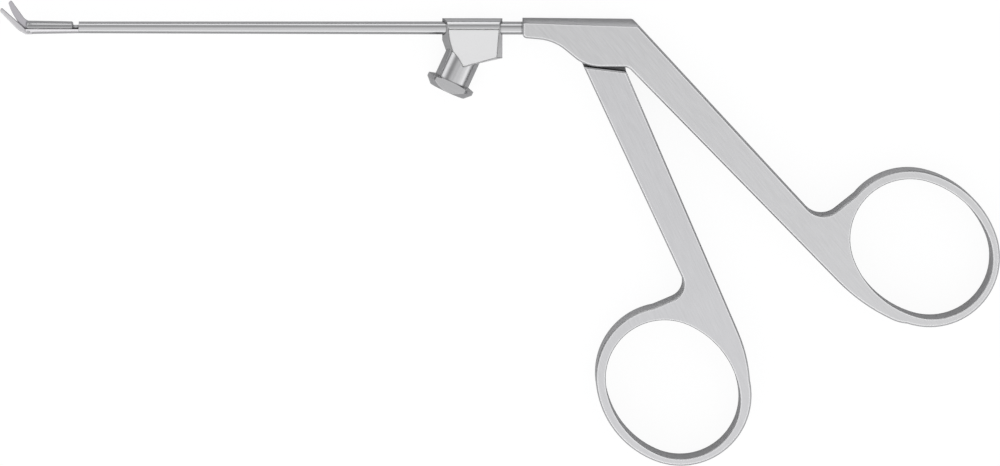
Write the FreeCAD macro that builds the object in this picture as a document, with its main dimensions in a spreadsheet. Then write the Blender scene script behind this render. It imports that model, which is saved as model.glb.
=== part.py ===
"""Micro scissors with a thin tube shaft, ring handles and a rinsing port.

The instrument lies flat. X runs along the shaft with the blades at -X, Y runs from
the finger rings up to the shaft, and Z is the thickness. The origin is the handle
pivot on the resting plane. Every length is in millimetres.
"""
import FreeCAD, Part
import math
import os
import re
import Sketcher

Vector = FreeCAD.Vector
Rotation = FreeCAD.Rotation
Placement = FreeCAD.Placement

# Driving dimensions: each one is a cell of the sheet, with its alias and a note
DIMENSIONS = [
    ("handle_thick", 6.0, "thickness of both handles"),
    ("axis_rise", 2.9, "shaft axis above the handle pivot"),
    ("close_angle", 7.0, "degrees that the front handle turns to close the blades"),
    ("edge_bevel", 0.25, "bevel of the outer handle edges"),
    ("hole_bevel", 0.12, "bevel of the ring holes"),
    ("nose_reach", 12.83, "front end of the handle body ahead of the pivot"),
    ("nose_top", 1.65, "top of the body above the shaft axis"),
    ("nose_under", 1.4, "bottom of the nose below the shaft axis"),
    ("nose_round", 0.7, "corner under the nose"),
    ("bend_x", 4.66, "corner between body top and rear arm"),
    ("bend_fall", 0.15, "how much the top falls towards that corner"),
    ("bend_round", 0.8, "radius of that corner"),
    ("belly_start_x", -7.84, "first corner under the body"),
    ("belly_start_y", 1.09, "first corner under the body"),
    ("belly_end_x", -2.79, "second corner under the body"),
    ("belly_low", 3.11, "flat underside of the body below the pivot"),
    ("belly_round", 7.6, "radius of the first corner"),
    ("belly_sweep", 6.4, "radius of the second corner"),
    ("crotch_x", 3.97, "corner between the underside and the rear arm"),
    ("crotch_round", 1.6, "radius of that corner"),
    ("crown_front", 0.70, "fall of the rounded top at its edges, at the nose"),
    ("crown_back", 1.15, "fall of the rounded top at its edges, behind the bend"),
    ("rear_web_x", 34.83, "corner between the rear arm and the web to its ring"),
    ("rear_web_y", -28.0, "corner between the rear arm and the web to its ring"),
    ("rear_web_end_x", 43.3, "where that web runs into the ring"),
    ("rear_web_end_y", -21.16, "where that web runs into the ring"),
    ("rear_heel_x", 41.24, "corner where the rear arm turns into its ring"),
    ("rear_heel_y", -41.08, "corner where the rear arm turns into its ring"),
    ("rear_heel_round", 29.7, "radius of that corner"),
    ("rear_toe_x", 49.21, "corner where that lower line turns along the ring"),
    ("rear_toe_y", -44.84, "corner where that lower line turns along the ring"),
    ("rear_toe_round", 6.5, "radius of that corner"),
    ("rear_toe_end_x", 53.1, "where that line runs into the ring"),
    ("rear_toe_end_y", -42.85, "where that line runs into the ring"),
    ("rear_web_round", 3.4, "radius of that corner"),
    ("rear_hole_x", 50.86, "centre of the rear finger hole"),
    ("rear_hole_y", -32.09, "centre of the rear finger hole"),
    ("rear_ring_turn", -42.0, "degrees from X to its long axis"),
    ("rear_hole_long", 12.05, "half its long axis"),
    ("rear_hole_short", 10.09, "half its short axis"),
    ("rear_hole_end", 9.5, "radius of its narrow ends"),
    ("rear_rim_x", 50.63, "centre of the outside of the rear ring"),
    ("rear_rim_y", -32.06, "centre of the outside of the rear ring"),
    ("rear_rim_long", 13.35, "half its long axis"),
    ("rear_rim_short", 11.67, "half its short axis"),
    ("rear_rim_end", 11.1, "radius of its narrow ends"),
    ("shoulder_left_x", -3.13, "left end of the shoulder of the front handle"),
    ("shoulder_left_y", -3.04, "left end of the shoulder of the front handle"),
    ("shoulder_right_x", 3.66, "right end of the shoulder of the front handle"),
    ("shoulder_right_y", -3.85, "right end of the shoulder of the front handle"),
    ("front_web_x", 13.84, "corner between the front arm and the web to its ring"),
    ("front_web_y", -39.17, "corner between the front arm and the web to its ring"),
    ("front_web_round", 2.7, "radius of that corner"),
    ("front_web_end_x", 5.6, "where that web runs into the ring"),
    ("front_web_end_y", -42.7, "where that web runs into the ring"),
    ("front_flank_x", 24.0, "corner where the front arm turns down the side of its ring"),
    ("front_flank_y", -50.68, "corner where the front arm turns down the side of its ring"),
    ("front_flank_round", 23.5, "radius of that corner"),
    ("front_flank_end_x", 23.6, "where that side runs into the ring"),
    ("front_flank_end_y", -57.6, "where that side runs into the ring"),
    ("front_hole_x", 11.35, "centre of the front finger hole"),
    ("front_hole_y", -54.78, "centre of the front finger hole"),
    ("front_ring_turn", -52.7, "degrees from X to its long axis"),
    ("front_hole_long", 11.67, "half its long axis"),
    ("front_hole_short", 9.98, "half its short axis"),
    ("front_hole_end", 9.4, "radius of its narrow ends"),
    ("front_rim_x", 11.45, "centre of the outside of the front ring"),
    ("front_rim_y", -54.25, "centre of the outside of the front ring"),
    ("front_rim_long", 13.25, "half its long axis"),
    ("front_rim_short", 11.85, "half its short axis"),
    ("front_rim_end", 11.3, "radius of its narrow ends"),
    ("tongue_thick", 1.9, "tongue of the front handle"),
    ("slot_side", 0.06, "side clearance of the tongue in its slot"),
    ("slot_left", 4.6, "front wall of the slot ahead of the pivot"),
    ("slot_right", 4.4, "back wall of the slot behind the pivot"),
    ("slot_roof", 0.15, "clearance over the ball"),
    ("tongue_left_x", -3.66, "upper left corner of the tongue root"),
    ("tongue_left_y", -1.9, "upper left corner of the tongue root"),
    ("tongue_right_x", 3.3, "upper right corner of the tongue root"),
    ("boss_size", 4.8, "round part of the tongue about the pivot"),
    ("fork_round", 0.25, "rounding of the fork tips"),
    ("fork_depth", 0.2, "fork slot below the ball"),
    ("ball_size", 1.6, "diameter of the ball on the rod"),
    ("ball_play", 0.02, "clearance beside the ball"),
    ("fork_wall", 0.75, "prong of the fork beside the ball"),
    ("fork_over", 0.55, "fork above the shaft axis"),
    ("stem_play", 0.08, "clearance of the rod in the split prong"),
    ("screw_shank", 2.5, "shank of the pivot screw"),
    ("screw_head", 4.2, "head of the pivot screw"),
    ("screw_head_depth", 0.9, "depth of its head"),
    ("screw_depth", 5.0, "length of the whole screw"),
    ("screw_eye", 0.7, "two driver holes in its head"),
    ("screw_eye_place", 1.3, "their distance from its middle"),
    ("screw_play", 0.03, "radial clearance of the tongue on the screw"),
    ("tube_front", 83.45, "front end of the tube ahead of the pivot"),
    ("tube_back", 5.2, "back end of the tube ahead of the pivot"),
    ("taper_end", 26.5, "where the tapered part of the tube ends"),
    ("tube_tip_size", 1.87, "outer diameter at the front end"),
    ("tube_size", 2.06, "outer diameter from the port backwards"),
    ("tube_bore", 1.46, "bore of the tube"),
    ("rod_size", 0.8, "push rod"),
    ("rod_play", 0.04, "radial clearance of the rod in bush and spigot"),
    ("bush_length", 2.4, "guide bush behind the port"),
    ("bush_place", 15.3, "front end of the bush ahead of the pivot"),
    ("rinse_hole", 1.1, "hole from the port into the tube"),
    ("rod_passage", 1.2, "passage for the rod between tube and slot"),
    ("tip_size", 2.14, "diameter across slider and strip at the blades"),
    ("slider_front", 91.8, "front end of the slider ahead of the pivot"),
    ("slider_back", 84.4, "back end of the slider ahead of the pivot"),
    ("slider_floor", 0.12, "underside of the slider below the shaft axis"),
    ("slider_gap", 0.1, "gap between slider and strip"),
    ("slider_nose", 0.3, "rounding of its front top corner"),
    ("slider_toe", 0.3, "bevel under its front end"),
    ("slider_chamfer", 0.15, "bevel of its back top corner"),
    ("rail_neck", 0.44, "neck of the guide rail under the slider"),
    ("rail_foot", 0.9, "foot of the guide rail"),
    ("rail_foot_thick", 0.2, "thickness of that foot"),
    ("rail_neck_depth", 0.32, "slider underside to the top of that foot"),
    ("rail_front", 89.4, "front end of the rail ahead of the pivot"),
    ("rail_back", 86.8, "back end of the rail ahead of the pivot"),
    ("rail_play", 0.04, "clearance all round the rail"),
    ("rod_seat", 86.0, "front end of the rod in the slider ahead of the pivot"),
    ("spigot_length", 2.6, "spigot of the strip inside the tube"),
    ("blade_pivot_x", 91.45, "pivot of the upper blade ahead of the handle pivot"),
    ("blade_pivot_drop", 0.56, "pivot of the upper blade below the shaft axis"),
    ("blade_lever", 1.0, "blade pivot to the middle of the drive pin"),
    ("blade_close", 20.3, "degrees that the upper blade turns"),
    ("blade_thick", 0.72, "thickness of each blade"),
    ("blade_play", 0.02, "gap between the blades"),
    ("blade_pin", 0.5, "pivot pin of the upper blade"),
    ("drive_pin", 0.4, "drive pin in the slider"),
    ("drive_play", 0.03, "clearance beside the drive pin"),
    ("pin_reach", 0.9, "half the length of both blade pins"),
    ("blade_slot_back", 90.35, "back end of the blade slot ahead of the handle pivot"),
    ("slot_play", 0.04, "side clearance of the upper blade in its slots"),
    ("horn_half", 0.42, "half width of the blade horn round the drive slot"),
    ("horn_wall", 0.15, "horn beyond the drive slot"),
    ("tang_size", 1.04, "round part of the upper blade about its pivot"),
    ("strip_front", 91.9, "front end of the strip ahead of the handle pivot"),
    ("lower_tip_x", -95.8, "top of the tip of the lower blade"),
    ("lower_tip_y", 6.1, "top of the tip of the lower blade"),
    ("lower_point_x", -96.0, "front of that tip"),
    ("lower_point_y", 5.5, "front of that tip"),
    ("lower_back_x", -93.1, "corner under the lower blade"),
    ("lower_back_y", 2.5, "corner under the lower blade"),
    ("lower_back_round", 2.2, "radius of that corner"),
    ("lower_heel_y", 2.6, "cutting edge of the lower blade at its heel"),
    ("lower_root", 1.0, "lower blade inside the strip"),
    ("upper_tip_x", -94.32, "top of the tip of the upper blade"),
    ("upper_tip_y", 7.25, "top of the tip of the upper blade"),
    ("upper_point_x", -94.66, "front of that tip"),
    ("upper_point_y", 6.75, "front of that tip"),
    ("upper_edge_x", -94.15, "bend of the upper cutting edge"),
    ("upper_edge_y", 5.3, "bend of the upper cutting edge"),
    ("upper_edge_bevel", 6.0, "radius of that bend"),
    ("upper_heel_x", -92.4, "heel of the upper cutting edge"),
    ("upper_heel_y", 2.45, "heel of the upper cutting edge"),
    ("upper_back_x", -92.1, "corner on the back of the upper blade"),
    ("upper_back_y", 4.12, "corner on the back of the upper blade"),
    ("upper_back_round", 1.6, "radius of that corner"),
    ("upper_root_x", -91.1, "back of the upper blade at its root"),
    ("upper_root_y", 3.72, "back of the upper blade at its root"),
    ("tip_round", 0.2, "rounding of both blade tips"),
    ("blade_grind", 0.18, "rounding of the outer lower edge of the lower blade"),
    ("port_left", 25.6, "left end of the port block ahead of the pivot"),
    ("port_right", 16.03, "right end of the port block ahead of the pivot"),
    ("port_round", 1.56, "radius of its rounded top about the shaft axis"),
    ("port_foot_half", 3.0, "half thickness at its foot"),
    ("port_waist_half", 1.42, "half thickness under its rounded top"),
    ("port_crease_drop", 0.1, "crease under the rounded top, below the shaft axis"),
    ("port_foot_x", 22.45, "lowest corner ahead of the pivot"),
    ("port_foot_drop", 6.28, "lowest corner below the shaft axis"),
    ("port_heel_drop", 4.8, "right foot corner below the shaft axis"),
    ("port_cheek_drop", 1.93, "where the left side turns in, below the shaft axis"),
    ("port_inset_left", 1.9, "how far the left end leans in on the face"),
    ("port_inset_right", 1.0, "how far the right end leans in on the face"),
    ("port_inset_foot", 0.25, "how far the foot leans in on the face"),
    ("neck_x", 20.22, "neck axis crosses the shaft axis here ahead of the pivot"),
    ("neck_lean", 24.7, "degrees of the neck from square"),
    ("neck_size", 5.7, "outer diameter of the neck"),
    ("neck_start", 3.5, "inner end of the neck from the shaft axis"),
    ("hub_length", 11.05, "shaft axis to the mouth of the socket"),
    ("flange_size", 7.8, "flange of the socket"),
    ("flange_thick", 0.6, "thickness of that flange at its rim"),
    ("flange_rise", 0.95, "fall of its front from the mouth to the rim"),
    ("flange_front", 5.9, "flat ring round the mouth"),
    ("flange_back", 0.3, "slope of its back from the neck to the rim"),
    ("flange_flats", 6.0, "distance across its two flats"),
    ("mouth_size", 4.3, "mouth of the socket"),
    ("socket_taper", 0.06, "taper of the socket on its diameter"),
    ("socket_depth", 6.2, "depth of the socket"),
]

doc = FreeCAD.newDocument("micro_scissors")
sheet = doc.addObject("Spreadsheet::Sheet", "Sizes")
for row, (alias, value, note) in enumerate(DIMENSIONS, start=1):
    sheet.set("A%d" % row, str(value))
    sheet.setAlias("A%d" % row, alias)
    sheet.set("B%d" % row, note)
doc.recompute()

SIZE = {alias: float(sheet.get(alias)) for alias, _, _ in DIMENSIONS}
MID = "handle_thick / 2"
NODES = []


def bound(text):
    """Write a formula of aliases as an expression on the sheet."""
    return re.sub(r"[a-z]+(?:_[a-z]+)+", lambda found: "Sizes." + found.group(0), text)


def bind(item, prop, text):
    item.setExpression(prop, bound(text))


# Bodies, sketches and features
def new_body(name):
    body = doc.addObject("PartDesign::Body", name + "_body")
    body.Label = name + " body"
    return body


def new_sketch(body, name, plane="XY_Plane", x="0", y="0", lift="0", turn=None):
    """A sketch on one of the body's own planes, moved and turned within it."""
    sketch = body.newObject("Sketcher::SketchObject", name)
    support = [item for item in body.Origin.OriginFeatures if item.Role == plane][0]
    sketch.AttachmentSupport = [(support, "")]
    sketch.MapMode = "FlatFace"
    bind(sketch, "AttachmentOffset.Base.x", x)
    bind(sketch, "AttachmentOffset.Base.y", y)
    bind(sketch, "AttachmentOffset.Base.z", lift)
    if turn:
        bind(sketch, "AttachmentOffset.Rotation.Angle", turn)
    return sketch


def place_point(sketch, edge, end, x, y):
    """Hold one end of an edge by its two distances from the sketch origin."""
    here = sketch.getPoint(edge, end)
    for kind, axis, now, text in (("DistanceX", -2, here.x, x), ("DistanceY", -1, here.y, y)):
        if text == "0":
            sketch.addConstraint(Sketcher.Constraint("PointOnObject", edge, end, axis))
            continue
        index = sketch.addConstraint(Sketcher.Constraint(kind, -1, 1, edge, end, now))
        bind(sketch, "Constraints[%d]" % index, text)


def outline(sketch, points):
    """A closed run of straight edges through the points, each a pair of formulas."""
    count = len(points)
    first = sketch.GeometryCount
    rough = [Vector(10 * math.cos(2 * math.pi * i / count), 10 * math.sin(2 * math.pi * i / count), 0)
             for i in range(count)]
    for i in range(count):
        sketch.addGeometry(Part.LineSegment(rough[i], rough[(i + 1) % count]), False)
    for i in range(count):
        sketch.addConstraint(Sketcher.Constraint("Coincident", first + i, 2, first + (i + 1) % count, 1))
    for i, (x, y) in enumerate(points):
        place_point(sketch, first + i, 1, x, y)


def circle(sketch, x, y, radius):
    edge = sketch.addGeometry(Part.Circle(Vector(1, 1, 0), Vector(0, 0, 1), 1), False)
    place_point(sketch, edge, 3, x, y)
    index = sketch.addConstraint(Sketcher.Constraint("Radius", edge, 1.0))
    bind(sketch, "Constraints[%d]" % index, radius)


def oval(sketch, name):
    """An oval of four tangent arcs about the sketch origin."""
    long_half, short_half, end = (SIZE[name + part] for part in ("_long", "_short", "_end"))
    reach = long_half - end
    side = (reach ** 2 + short_half ** 2 - end ** 2) / (2 * (short_half - end))
    split = math.atan2(side - short_half, reach)
    arcs = [(reach, 0, end, -split, split), (0, short_half - side, side, split, math.pi - split),
            (-reach, 0, end, math.pi - split, math.pi + split),
            (0, side - short_half, side, math.pi + split, 2 * math.pi - split)]
    for x, y, radius, start, stop in arcs:
        whole = Part.Circle(Vector(x, y, 0), Vector(0, 0, 1), radius)
        sketch.addGeometry(Part.ArcOfCircle(whole, start, stop), False)
    for i in range(4):
        sketch.addConstraint(Sketcher.Constraint("Tangent", i, 2, (i + 1) % 4, 1))
    reach_text = "(%s_long - %s_end)" % (name, name)
    side_text = "(%s ^ 2 + %s_short ^ 2 - %s_end ^ 2) / (2 * (%s_short - %s_end))" % (
        reach_text, name, name, name, name)
    place_point(sketch, 0, 3, reach_text, "0")
    place_point(sketch, 2, 3, "-" + reach_text, "0")
    for i, text in enumerate((name + "_end", side_text, name + "_end", side_text)):
        index = sketch.addConstraint(Sketcher.Constraint("Radius", i, arcs[i][2]))
        bind(sketch, "Constraints[%d]" % index, text)


def pad(body, sketch, name, length, reverse=False, both=False):
    feature = body.newObject("PartDesign::Pad", name)
    feature.Profile = sketch
    bind(feature, "Length", length)
    feature.Reversed = reverse
    feature.SideType = "Symmetric" if both else "One side"
    return finish(body, feature, sketch)


def pocket(body, sketch, name, length, reverse=False, both=False):
    """Cut into the body; a cut that takes nothing away is an error."""
    before = body.Shape.Volume
    feature = body.newObject("PartDesign::Pocket", name)
    feature.Profile = sketch
    bind(feature, "Length", length)
    feature.Reversed = reverse
    feature.SideType = "Symmetric" if both else "One side"
    finish(body, feature, sketch)
    if not body.Shape.Volume < before - 1e-6:
        raise RuntimeError("the cut %s takes nothing away" % name)
    return feature


def revolve(body, sketch, name, cut=False, axis="H_Axis"):
    """Turn a profile about an axis of its sketch."""
    before = body.Shape.Volume if cut else 0.0
    feature = body.newObject("PartDesign::Groove" if cut else "PartDesign::Revolution", name)
    feature.Profile = sketch
    feature.ReferenceAxis = (sketch, [axis])
    feature.Angle = 360
    finish(body, feature, sketch)
    if cut and not body.Shape.Volume < before - 1e-6:
        raise RuntimeError("the groove %s takes nothing away" % name)
    return feature


def dress(body, kind, name, edges, size):
    """A fillet or a chamfer on the named edges of the body's last feature."""
    base = body.Tip
    feature = body.newObject("PartDesign::" + kind, name)
    feature.Base = (base, edges)
    bind(feature, "Radius" if kind == "Fillet" else "Size", size)
    return finish(body, feature, base)


def finish(body, feature, hidden):
    hidden.Visibility = False
    body.Tip = feature
    doc.recompute()
    if feature.State and ("Invalid" in feature.State or "Error" in feature.State):
        raise RuntimeError("%s failed" % feature.Name)
    return feature


def edges_where(shape, test):
    return ["Edge%d" % (i + 1) for i, edge in enumerate(shape.Edges) if test(edge)]


def corner_edges(body, sketch, numbers):
    """The upright edges of the body that stand on these corners of a sketch."""
    corners = [sketch.Placement.multVec(sketch.Geometry[i].StartPoint) for i in numbers]

    def stands(edge):
        ends = [vertex.Point for vertex in edge.Vertexes]
        if len(ends) != 2:
            return False
        return any(all(math.hypot(end.x - corner.x, end.y - corner.y) < 1e-3 for end in ends)
                   for corner in corners)
    return edges_where(body.Shape, stands)


def rim_edges(shape, levels, test=lambda edge: True):
    """Edges that lie in one of the level planes and pass a test."""
    def lies(edge):
        box = edge.BoundBox
        return any(abs(box.ZMin - z) < 1e-4 and abs(box.ZMax - z) < 1e-4 for z in levels) and test(edge)
    return edges_where(shape, lies)


def combine(kind, name, base, tool):
    """A boolean of two parametric solids."""
    feature = doc.addObject("Part::" + kind, name)
    feature.Base = base
    feature.Tool = tool
    doc.recompute()
    return feature


def keep(name, item):
    """Give a finished piece its label; the label names its file."""
    item.Label = name
    NODES.append(item)
    return item


def cylinder(name, radius, height, x, y, z, along_x=False):
    """A round bar along Z or X, placed by formulas."""
    bar = doc.addObject("Part::Cylinder", name)
    bind(bar, "Radius", radius)
    bind(bar, "Height", height)
    if along_x:
        bar.Placement = Placement(Vector(), Rotation(Vector(0, 1, 0), 90))
    bind(bar, "Placement.Base.x", x)
    bind(bar, "Placement.Base.y", y)
    bind(bar, "Placement.Base.z", z)
    doc.recompute()
    return bar


def box_cut(body, name, left, right, low, high, bottom, thick):
    """A cut with four straight sides, from a bottom level upwards."""
    sketch = new_sketch(body, name + "_outline", lift=bottom)
    outline(sketch, [(left, low), (right, low), (right, high), (left, high)])
    return pocket(body, sketch, name, thick, reverse=True)


def box_pad(body, name, left, right, low, high, thick):
    """A block with four straight sides, half on each side of the mid-plane."""
    sketch = new_sketch(body, name + "_outline", lift=MID)
    outline(sketch, [(left, low), (right, low), (right, high), (left, high)])
    return pad(body, sketch, name, thick, both=True)


# Handles: an arm and a ring in one, both faces bevelled all round
def make_handle_blank(name, points, corners):
    """Arm, ring and finger hole; corners are (number, radius, name) of the arm's outline."""
    arm = new_body(name + "_arm")
    side = new_sketch(arm, name + "_outline")
    outline(side, points)
    pad(arm, side, name + "_arm_blank", "handle_thick")
    for number, size, corner in corners:
        dress(arm, "Fillet", "%s_%s" % (name, corner), corner_edges(arm, side, [number]), size)
    bevel_faces(arm, name + "_arm_bevel", "edge_bevel")
    ring = new_body(name + "_ring")
    centre = {"x": name + "_rim_x", "y": name + "_rim_y", "turn": name + "_ring_turn"}
    rim = new_sketch(ring, name + "_rim", **centre)
    oval(rim, name + "_rim")
    pad(ring, rim, name + "_ring_blank", "handle_thick")
    bevel_faces(ring, name + "_ring_bevel", "edge_bevel")
    body = new_body(name + "_handle")
    body.BaseFeature = combine("Fuse", name + "_whole", arm, ring)
    doc.recompute()
    cut_finger_hole(body, name)
    return body


def cut_finger_hole(body, name):
    centre = {"x": name + "_hole_x", "y": name + "_hole_y", "turn": name + "_ring_turn"}
    hole = new_sketch(body, name + "_hole", **centre)
    oval(hole, name + "_hole")
    pocket(body, hole, name + "_finger_hole", "handle_thick", reverse=True)
    turn = math.radians(SIZE[name + "_ring_turn"])
    margin = 2 * SIZE["edge_bevel"]
    long_half, short_half = SIZE[name + "_hole_long"] + margin, SIZE[name + "_hole_short"] + margin

    def inside(vertex):
        x, y = vertex.X - SIZE[name + "_hole_x"], vertex.Y - SIZE[name + "_hole_y"]
        along = x * math.cos(turn) + y * math.sin(turn)
        across = y * math.cos(turn) - x * math.sin(turn)
        return (along / long_half) ** 2 + (across / short_half) ** 2 < 1
    bevel_faces(body, name + "_hole_bevel", "hole_bevel", lambda edge: all(map(inside, edge.Vertexes)))


def bevel_faces(body, name, size, test=lambda edge: True):
    """Bevel the edges of the lower and the upper face that pass the test."""
    edges = rim_edges(body.Shape, (0.0, SIZE["handle_thick"]), test)
    return dress(body, "Chamfer", name, edges, size)


# Rear handle, with the slot for the tongue and the bore for the tube
def make_rear_handle():
    body = make_handle_blank("rear", [
        ("-nose_reach", "axis_rise + nose_top"),
        ("bend_x", "axis_rise + nose_top - bend_fall"),
        ("rear_web_x", "rear_web_y"),
        ("rear_web_end_x", "rear_web_end_y"),
        ("rear_toe_end_x", "rear_toe_end_y"),
        ("rear_toe_x", "rear_toe_y"),
        ("rear_heel_x", "rear_heel_y"),
        ("crotch_x", "-belly_low"),
        ("belly_end_x", "-belly_low"),
        ("belly_start_x", "belly_start_y"),
        ("-nose_reach", "axis_rise - nose_under"),
    ], [(1, "bend_round", "bend"), (2, "rear_web_round", "web"), (5, "rear_toe_round", "toe"),
        (6, "rear_heel_round", "heel"), (7, "crotch_round", "crotch"), (8, "belly_sweep", "belly_back"),
        (9, "belly_round", "belly_front"), (10, "nose_round", "chin")])
    cut_crown(body, crown_sections(body))
    box_cut(body, "tongue_slot", "-slot_left", "slot_right", "-belly_low - nose_reach",
            "axis_rise + ball_size / 2 + slot_roof", MID + " - tongue_thick / 2 - slot_side",
            "tongue_thick + 2 * slot_side")
    bore_for_tube(body)
    bore_for_screw(body)
    return body


def crown_sections(body):
    """Two outlines across the nose and the bend: what lies outside the rounded top."""
    ends = (("nose", "-nose_reach - edge_bevel", "axis_rise + nose_top", "crown_front"),
            ("bend", "bend_x + 2 * bend_round", "axis_rise + nose_top - bend_fall", "crown_back"))
    sections = []
    for name, place, apex, fall in ends:
        sketch = new_sketch(body, "crown_" + name, plane="YZ_Plane", lift=place)
        half = SIZE["handle_thick"] / 2
        top = SIZE["axis_rise"] + SIZE["nose_top"]
        drop = SIZE[fall]
        low, high = Vector(top - drop, 0, 0), Vector(top - drop, 2 * half, 0)
        sketch.addGeometry(Part.Arc(low, Vector(top, half, 0), high), False)
        corners = [high, Vector(top + 2, 2 * half + 1, 0), Vector(top + 2, -1, 0), low]
        for start, stop in zip(corners, corners[1:]):
            sketch.addGeometry(Part.LineSegment(start, stop), False)
        for i in range(4):
            sketch.addConstraint(Sketcher.Constraint("Coincident", i, 2, (i + 1) % 4, 1))
        edge_y = "%s - %s" % (apex, fall)
        place_point(sketch, 0, 1, edge_y, "0")
        place_point(sketch, 1, 1, edge_y, "handle_thick")
        place_point(sketch, 2, 1, apex + " + handle_thick", "handle_thick + edge_bevel")
        place_point(sketch, 3, 1, apex + " + handle_thick", "-edge_bevel")
        index = sketch.addConstraint(Sketcher.Constraint("Radius", 0, sketch.Geometry[0].Radius))
        bind(sketch, "Constraints[%d]" % index, "((handle_thick / 2) ^ 2 + %s ^ 2) / (2 * %s)" % (fall, fall))
        sections.append(sketch)
    return sections


def cut_crown(body, sections):
    before = body.Shape.Volume
    feature = body.newObject("PartDesign::SubtractiveLoft", "crown")
    feature.Profile = sections[0]
    feature.Sections = sections[1:]
    feature.Ruled = True
    finish(body, feature, sections[0])
    if not body.Shape.Volume < before - 1e-6:
        raise RuntimeError("the crown takes nothing away")


def bore_for_tube(body):
    seat = new_sketch(body, "tube_seat", y="axis_rise", lift=MID)
    outline(seat, [("-nose_reach - edge_bevel", "0"), ("-nose_reach - edge_bevel", "tube_size / 2"),
                   ("-tube_back", "tube_size / 2"), ("-tube_back", "rod_passage / 2"),
                   ("-slot_left / 2", "rod_passage / 2"), ("-slot_left / 2", "0")])
    revolve(body, seat, "tube_bore_cut", cut=True)


def bore_for_screw(body):
    head = new_sketch(body, "screw_seat_outline")
    circle(head, "0", "0", "screw_head / 2")
    pocket(body, head, "screw_seat", "screw_head_depth", reverse=True)
    shank = new_sketch(body, "screw_bore_outline")
    circle(shank, "0", "0", "screw_shank / 2")
    pocket(body, shank, "screw_bore", "screw_depth", reverse=True)


# Front handle, with the tongue that carries the fork for the ball
def make_front_handle():
    body = make_handle_blank("front", [
        ("shoulder_left_x", "shoulder_left_y"),
        ("shoulder_right_x", "shoulder_right_y"),
        ("front_flank_x", "front_flank_y"),
        ("front_flank_end_x", "front_flank_end_y"),
        ("front_web_end_x", "front_web_end_y"),
        ("front_web_x", "front_web_y"),
    ], [(2, "front_flank_round", "flank"), (5, "front_web_round", "web")])
    add_tongue(body)
    return body


def add_tongue(body):
    root = new_sketch(body, "tongue_outline", lift=MID)
    outline(root, [("shoulder_left_x", "shoulder_left_y"), ("tongue_left_x", "tongue_left_y"),
                   ("-boss_size / 2", "0"), ("boss_size / 2", "0"), ("tongue_right_x", "tongue_left_y"),
                   ("shoulder_right_x", "shoulder_right_y"), ("0", "shoulder_right_y - boss_size / 2")])
    pad(body, root, "tongue", "tongue_thick", both=True)
    boss = new_sketch(body, "boss_outline", lift=MID)
    circle(boss, "0", "0", "boss_size / 2")
    pad(body, boss, "boss", "tongue_thick", both=True)
    half = "ball_size / 2 + ball_play"
    fork = new_sketch(body, "fork_outline", lift=MID, turn="-close_angle / 2")
    outline(fork, [("-(%s + fork_wall)" % half, "0"), ("%s + fork_wall" % half, "0"),
                   ("%s + fork_wall" % half, "axis_rise + fork_over"),
                   ("-(%s + fork_wall)" % half, "axis_rise + fork_over")])
    pad(body, fork, "fork", "tongue_thick", both=True)
    dress(body, "Fillet", "fork_tips", corner_edges(body, fork, [2, 3]), "fork_round")
    seat = new_sketch(body, "ball_seat_outline", lift=MID, turn="-close_angle / 2")
    low = "axis_rise - ball_size / 2 - fork_depth"
    high = "axis_rise + 2 * fork_over"
    outline(seat, [("-(%s)" % half, low), (half, low), (half, high), ("-(%s)" % half, high)])
    pocket(body, seat, "ball_seat", "2 * tongue_thick", both=True)
    stem = new_sketch(body, "stem_slot_outline", lift=MID, turn="-close_angle / 2")
    stem_low = "axis_rise - rod_size / 2 - 2 * stem_play"
    outline(stem, [("-(%s + 2 * fork_wall)" % half, stem_low), ("0", stem_low), ("0", high),
                   ("-(%s + 2 * fork_wall)" % half, high)])
    pocket(body, stem, "stem_slot", "rod_size + 2 * stem_play", both=True)
    bore = new_sketch(body, "pivot_bore_outline", lift=MID)
    circle(bore, "0", "0", "screw_shank / 2 + screw_play")
    pocket(body, bore, "pivot_bore", "2 * tongue_thick", both=True)


# Pivot screw: flush head with two driver holes, shank through the tongue into the far cheek
def make_pivot_screw():
    body = new_body("handle_pivot_screw")
    shank = new_sketch(body, "shank_outline")
    circle(shank, "0", "0", "screw_shank / 2")
    pad(body, shank, "shank", "screw_depth")
    head = new_sketch(body, "head_outline")
    circle(head, "0", "0", "screw_head / 2")
    pad(body, head, "head", "screw_head_depth")
    eyes = new_sketch(body, "driver_holes_outline")
    circle(eyes, "screw_eye_place", "0", "screw_eye / 2")
    circle(eyes, "-screw_eye_place", "0", "screw_eye / 2")
    pocket(body, eyes, "driver_holes", "screw_head_depth * 2 / 3", reverse=True)
    return body


# Shaft: tube, push rod, ball and guide bush, all turned about the shaft axis
def make_shaft_tube():
    body = new_body("shaft_tube")
    wall = new_sketch(body, "tube_wall", y="axis_rise", lift=MID)
    outline(wall, [("-tube_front", "tube_bore / 2"), ("-tube_front", "tube_tip_size / 2"),
                   ("-taper_end", "tube_size / 2"), ("-tube_back", "tube_size / 2"),
                   ("-tube_back", "tube_bore / 2")])
    revolve(body, wall, "tube")
    return combine("Cut", "shaft_tube", body, rinse_drill)


def make_rinse_drill():
    """The passage from the socket into the tube, along the neck axis."""
    body = new_body("rinse_drill")
    side = new_sketch(body, "drill_outline")
    depth = "-hub_length + socket_depth - rinse_hole / 2"
    outline(side, [("0", "0"), ("rinse_hole / 2", "0"), ("rinse_hole / 2", depth), ("0", depth)])
    revolve(body, side, "drill", axis="V_Axis")
    place_on_neck(body)
    return body


def place_on_neck(body):
    """Stand a body on the shaft axis with its -Y axis along the leaning neck."""
    bind(body, "Placement.Base.x", "-neck_x")
    bind(body, "Placement.Base.y", "axis_rise")
    bind(body, "Placement.Base.z", MID)
    bind(body, "Placement.Rotation.Angle", "-neck_lean")
    doc.recompute()


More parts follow.
